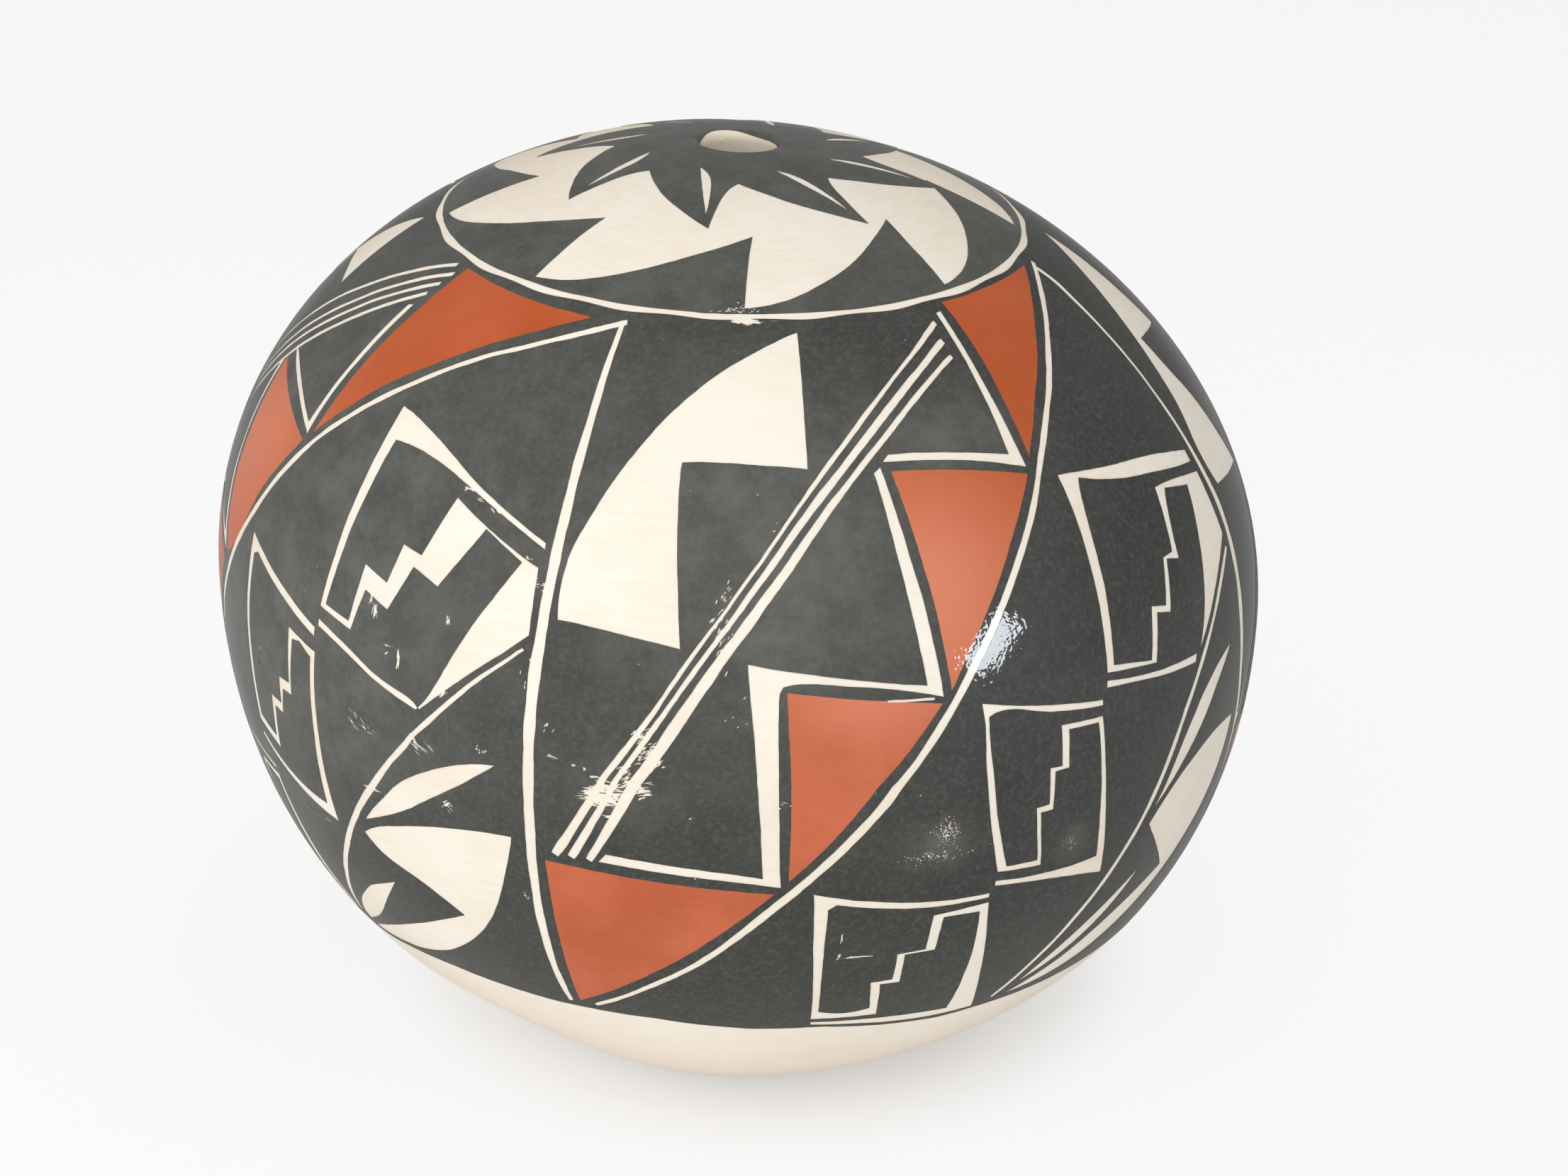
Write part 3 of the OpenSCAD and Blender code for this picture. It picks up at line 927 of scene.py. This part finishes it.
def red_material():
    s = Shader("red_paint")
    brush = s.brushed(80, 16)
    cloud = s.noise(50, detail=5.0, roughness=0.6)
    grain = s.noise(1300, detail=2.0)
    thin = s.ramp(s.weigh(brush, 0.12, cloud, 0.88), 0.32, 0.7)
    colour = s.mix(thin, RED_DEEP, RED_PALE)
    colour = s.mix(s.ramp(grain, 0.55, 0.8, stop=0.3), colour, RED_PALE)
    # Deeper red towards the top of the band
    colour = s.mix(s.ramp(s.axes()["Z"], RED_TOP_FROM, RED_TOP_TO, stop=0.5), colour, RED_TOWARDS_TOP)
    # Lighter red of faded paint, and a painted highlight beside the glint
    colour = s.mix(s.attribute("rub_and_sheen"), colour, RED_FADED_AND_SHEEN)
    rough = s.ramp(s.weigh(cloud, 0.5, grain, 0.5), 0.3, 0.7, start=0.5, stop=0.68)
    bump = s.weigh(s.noise(600, detail=4.0), 0.8, brush, 0.12)
    return s.finish(colour, rough, bump, depth=0.00006, shine=PAINT_SHINE)


def clay_material():
    s = Shader("clay")
    cloud = s.noise(70, detail=5.0, roughness=0.6)
    temper = s.ramp(s.noise(1100, detail=2.0), 0.66, 0.72)
    scrape = s.brushed(110, 7, roughness=0.65)
    colour = s.mix(s.ramp(cloud, 0.35, 0.68), CLAY_PALE, CLAY_DARK)
    colour = s.mix(s.math("MULTIPLY", temper, 0.6), colour, CLAY_DARK)
    rough = s.ramp(scrape, 0.3, 0.7, start=0.75, stop=0.92)
    bump = s.math("ADD", scrape, s.math("MULTIPLY", temper, 0.4))
    return s.finish(colour, rough, bump, depth=0.00025, shine={"Specular IOR Level": 0.25})


def dress(piece, material):
    """Gives a piece its finish and ties it to the one body."""
    piece.data.materials.clear()
    piece.data.materials.append(material)
    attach(piece, "root")


# Pieces
def new_piece(name, mesh):
    piece = bpy.data.objects.new(name, mesh)
    bpy.context.scene.collection.objects.link(piece)
    return piece


TURNS = 300
OUTER_ROWS = 150
INNER_ROWS = 40
LIP_ROWS = 9
BORE_DEPTHS = (1, 2, 2.8)
SLIP_CLEAR = 0.02
SLIP_EDGE_RISE, SLIP_EDGE_MEAN = 0.012, 1.2
# Waves round the slip's lower edge and round its edge in the mouth: count, start in radians and share
SLIP_EDGE_WAVES = [(4, 1, 0.6), (11, 0, 0.4)]
BORE_WAVES = [(5, 0, 0.06), (9, 2, 0.04)]
SHARP = math.radians(50)


def uneven(az, mean, waves):
    """A mean plus waves round the pot."""
    return sum((share * np.sin(count * az + start) for count, start, share in waves), mean)


def lip_row(az, turn, reach, rise):
    """One ring of points on the rounded edge of the mouth."""
    radius = LIP_R - reach * math.sin(turn)
    height = np.full_like(az, POT_H - LIP_DROP + rise * math.cos(turn))
    return hand(np.stack([radius * np.sin(az), -radius * np.cos(az), height], axis=1))


def bore_row(az, reach, depth):
    """One ring of points down the mouth's wall, uneven as slip that a brush left there."""
    radius = LIP_R - reach
    height = POT_H - LIP_DROP - depth * uneven(az, 1, BORE_WAVES)
    return hand(np.stack([radius * np.sin(az), -radius * np.cos(az), height], axis=1))


def slip_skin(material):
    """The slip coat as a closed skin, with a brushed, uneven edge above the foot."""
    az = np.linspace(0, 2 * math.pi, TURNS, endpoint=False)
    low = -math.asin(((WIDEST_Z - SLIP_EDGE_Z) / DOWN) ** (LOWER_FULLNESS / 2))
    low = low + SLIP_EDGE_RISE * uneven(az, SLIP_EDGE_MEAN, SLIP_EDGE_WAVES)
    high = np.full(TURNS, math.acos(LIP_R / POT_R))
    rows = [surface(az, low + (high - low) * f, 0.0) for f in np.linspace(0, 1, OUTER_ROWS)]
    lip_turns = np.linspace(0, math.pi / 2, LIP_ROWS)
    rows += [lip_row(az, turn, LIP_IN, LIP_DROP) for turn in lip_turns[1:]]
    rows += [bore_row(az, LIP_IN, depth) for depth in BORE_DEPTHS]
    under = LIP_ROUND + SLIP_CLEAR
    rows += [bore_row(az, under, depth) for depth in BORE_DEPTHS[::-1]]
    rows += [lip_row(az, turn, under, under) for turn in lip_turns[:0:-1]]
    rows += [surface(az, low + (high - low) * f, SLIP_CLEAR - SLIP_T) for f in np.linspace(1, 0, INNER_ROWS)]
    faces = []
    for i in range(len(rows)):
        here, above = i * TURNS, (i + 1) % len(rows) * TURNS
        for j in range(TURNS):
            turned = (j + 1) % TURNS
            faces.append((here + j, here + turned, above + turned, above + j))
    mesh = bpy.data.meshes.new("slip_skin")
    mesh.from_pydata(np.concatenate(rows) * MM, [], faces)
    mesh.shade_smooth()
    mesh.set_sharp_from_angle(angle=SHARP)
    piece = new_piece("slip_skin", mesh)
    dress(piece, material)
    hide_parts("slip_coat")


def clay_rings(material):
    """Each ring of clay, moved with the hand-made shape so that it stays under the slip."""
    for name, node in frame["nodes"].items():
        if name == "slip_coat":
            continue
        mesh = node.data.copy()
        points = np.zeros(len(mesh.vertices) * 3)
        mesh.vertices.foreach_get("co", points)
        moved = hand(points.reshape(-1, 3) / MM) * MM
        mesh.vertices.foreach_set("co", moved.ravel())
        mesh.update()
        piece = new_piece(name + "_clay", mesh)
        dress(piece, material)
        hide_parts(name)


def rub_and_sheen_amount(flat, places):
    """How far the paint is lighter at each point of the band's plan: dulled and faded paint, and painted
    sheen.
    """
    amount = np.zeros(len(flat))
    for start, p, s, reach_p, reach_s, weight in places:
        middle = (start + P_DEG * p) / U_DEG
        across = (flat[:, 0] - middle + ROUND / 2) % ROUND - ROUND / 2
        amount += weight * np.exp(-(across / reach_p) ** 2 - ((flat[:, 1] - s) / reach_s) ** 2)
    return np.clip(amount, 0, 1)


# The seam's line on the band's plan, past both edges, and the even rub and painted sheen of the crown's
# black paint
SEAM_LOW, SEAM_HIGH, SEAM_STEP = -4, 104, 1.5
CROWN_RUB_AND_SHEEN = 0.7


def in_band(middles):
    """Which middles of triangles lie within one turn of the band's plan."""
    return (middles[:, 0] > SEAM_U) & (middles[:, 0] < SEAM_U + ROUND)


def painted_pieces(materials):
    levels = np.arange(SEAM_LOW, SEAM_HIGH, SEAM_STEP)
    seam = [np.array([(u, s) for s in levels]) for u in (SEAM_U, SEAM_U + ROUND)]
    band = paint_films(band_layers(), seam, on_band, in_band)
    lip_lines = [circle(radius, LIP_SEED) for radius in LIP_LINES]
    crown = paint_films(crown_layers(), lip_lines, on_crown, lambda middles: np.full(len(middles), True))
    for place, films in (("band", band), ("crown", crown)):
        for paint, (mesh, flat) in films.items():
            places = DULLED_AND_SHEEN if paint == "black_paint" else FADED_AND_SHEEN
            rub_and_sheen = rub_and_sheen_amount(flat, places) if place == "band" else np.full(len(flat), CROWN_RUB_AND_SHEEN)
            mesh.attributes.new("rub_and_sheen", "FLOAT", "POINT").data.foreach_set("value", rub_and_sheen)
            mesh.name = place + "_" + paint
            dress(new_piece(mesh.name, mesh), materials[paint])


# Stage: a white table under soft light
FLOOR_RINGS = (0.3, 1.0, 4.0)
FLOOR_TURNS = 64
FLOOR_WHITE = srgb(252, 252, 251)
FLOOR_ROUGH, FLOOR_SPECULAR = 0.9, 0.1
# How much the table glows by itself: less just under the pot, which keeps its shade
UNDER_POT = (0.004, 0.010, 0)
UNDER_NEAR, UNDER_FAR = 0.036, 0.062
UNDER_GLOW, OPEN_GLOW = 0.4, 0.8
# The world's strength as light, and as the camera sees it
WORLD_LIGHT, WORLD_SEEN = 0.4, 1.0
TARGET = Vector((0, 0, 0.0665))
# Name, place, width in metres and power in watts of each soft lamp
SOFT_LAMPS = [
    ("front_soft", (-0.43, -1.15, 0.55), 1.4, 5.9),
    ("left_soft", (-1.2, -0.3, 0.4), 0.9, 1.9),
    ("overhead_soft", (0.1, -0.25, 1.3), 1.0, 5.5),
    ("low_fill", (-0.1, -0.9, 0.14), 0.25, 0.8),
]
WINDOW_PLACE = (0.98, -0.72, 0.245)
WINDOW_W, WINDOW_H, WINDOW_POWER = 0.3, 0.14, 8.0
WINDOW_BLUE = (0.85, 0.93, 1.0)
WINDOW_ROLL = math.radians(40)


def floor():
    count = FLOOR_TURNS
    points = [(0, 0, 0)]
    faces = []
    for k, radius in enumerate(FLOOR_RINGS):
        first = len(points)
        for i in range(count):
            a = 2 * math.pi * i / count
            points.append((radius * math.cos(a), radius * math.sin(a), 0))
        for i in range(count):
            j = (i + 1) % count
            if k == 0:
                faces.append((0, first + i, first + j))
            else:
                faces.append((first - count + i, first + i, first + j, first - count + j))
    mesh = bpy.data.meshes.new("table")
    mesh.from_pydata(points, [], faces)
    s = Shader("table_white")
    s.put(s.surface.inputs["Base Color"], FLOOR_WHITE)
    s.surface.inputs["Roughness"].default_value = FLOOR_ROUGH
    s.surface.inputs["Specular IOR Level"].default_value = FLOOR_SPECULAR
    glow = s.add("ShaderNodeEmission")
    away = s.add("ShaderNodeVectorMath", operation="DISTANCE")
    s.put(away.inputs[0], s.place)
    away.inputs[1].default_value = UNDER_POT
    share = s.ramp(away.outputs["Value"], UNDER_NEAR, UNDER_FAR, UNDER_GLOW, OPEN_GLOW)
    seen = s.math("MULTIPLY", s.add("ShaderNodeLightPath").outputs["Is Camera Ray"], share)
    blend = s.add("ShaderNodeMixShader")
    s.put(blend.inputs[0], seen)
    s.put(blend.inputs[1], s.surface.outputs[0])
    s.put(blend.inputs[2], glow.outputs[0])
    s.put(s.tree.nodes["Material Output"].inputs["Surface"], blend.outputs[0])
    mesh.materials.append(s.material)
    new_piece("table", mesh)


def world():
    scene = bpy.context.scene
    scene.world = bpy.data.worlds.new("studio")
    scene.world.use_nodes = True
    nodes, links = scene.world.node_tree.nodes, scene.world.node_tree.links
    back = nodes["Background"]
    back.inputs["Color"].default_value = (1, 1, 1, 1)
    path = nodes.new("ShaderNodeLightPath")
    strength = nodes.new("ShaderNodeMapRange")
    links.new(path.outputs["Is Camera Ray"], strength.inputs["Value"])
    strength.inputs["To Min"].default_value = WORLD_LIGHT
    strength.inputs["To Max"].default_value = WORLD_SEEN
    links.new(strength.outputs[0], back.inputs["Strength"])


def lamp(name, place, size, power):
    """A lamp aimed at the pot."""
    data = bpy.data.lights.new(name, "AREA")
    data.shape = "DISK"
    data.size = size
    data.energy = power
    lamp_object = bpy.data.objects.new(name, data)
    lamp_object.location = place
    lamp_object.rotation_euler = (TARGET - Vector(place)).to_track_quat("-Z", "Y").to_euler()
    bpy.context.scene.collection.objects.link(lamp_object)
    return lamp_object


def lights():
    for name, place, size, power in SOFT_LAMPS:
        lamp(name, place, size, power).visible_glossy = False
    # A bluish window that shows only as a glint on the polish
    window = lamp("side_window", WINDOW_PLACE, WINDOW_W, WINDOW_POWER)
    window.visible_diffuse = False
    window.data.shape = "RECTANGLE"
    window.data.size_y = WINDOW_H
    window.data.color = WINDOW_BLUE
    window.rotation_euler.rotate_axis("Z", WINDOW_ROLL)


# Camera at the photograph's angle, for an image of 2212 by 1659 pixels
IMAGE_W, IMAGE_H = 2212, 1659
VIEW_DISTANCE = 0.460
VIEW_TILT = math.radians(22.66)
TARGET_PX = (1042.2, 824.4)
PX_PER_MM = 9.6234
SENSOR = 36.0
CLIP_START = 0.01


def camera():
    data = bpy.data.cameras.new("camera")
    data.sensor_width = SENSOR
    data.lens = SENSOR * PX_PER_MM * VIEW_DISTANCE / MM / IMAGE_W
    data.shift_x = (IMAGE_W / 2 - TARGET_PX[0]) / IMAGE_W
    data.shift_y = (TARGET_PX[1] - IMAGE_H / 2) / IMAGE_W
    data.clip_start = CLIP_START
    view = bpy.data.objects.new("camera", data)
    view.location = TARGET + VIEW_DISTANCE * Vector((0, -math.cos(VIEW_TILT), math.sin(VIEW_TILT)))
    view.rotation_euler = (math.pi / 2 - VIEW_TILT, 0, 0)
    bpy.context.scene.collection.objects.link(view)
    bpy.context.scene.camera = view


slip_skin(slip_material())
clay_rings(clay_material())
painted_pieces({"black_paint": black_material(), "red_paint": red_material()})
floor()
world()
lights()
camera()
bpy.context.scene.view_settings.view_transform = "Standard"
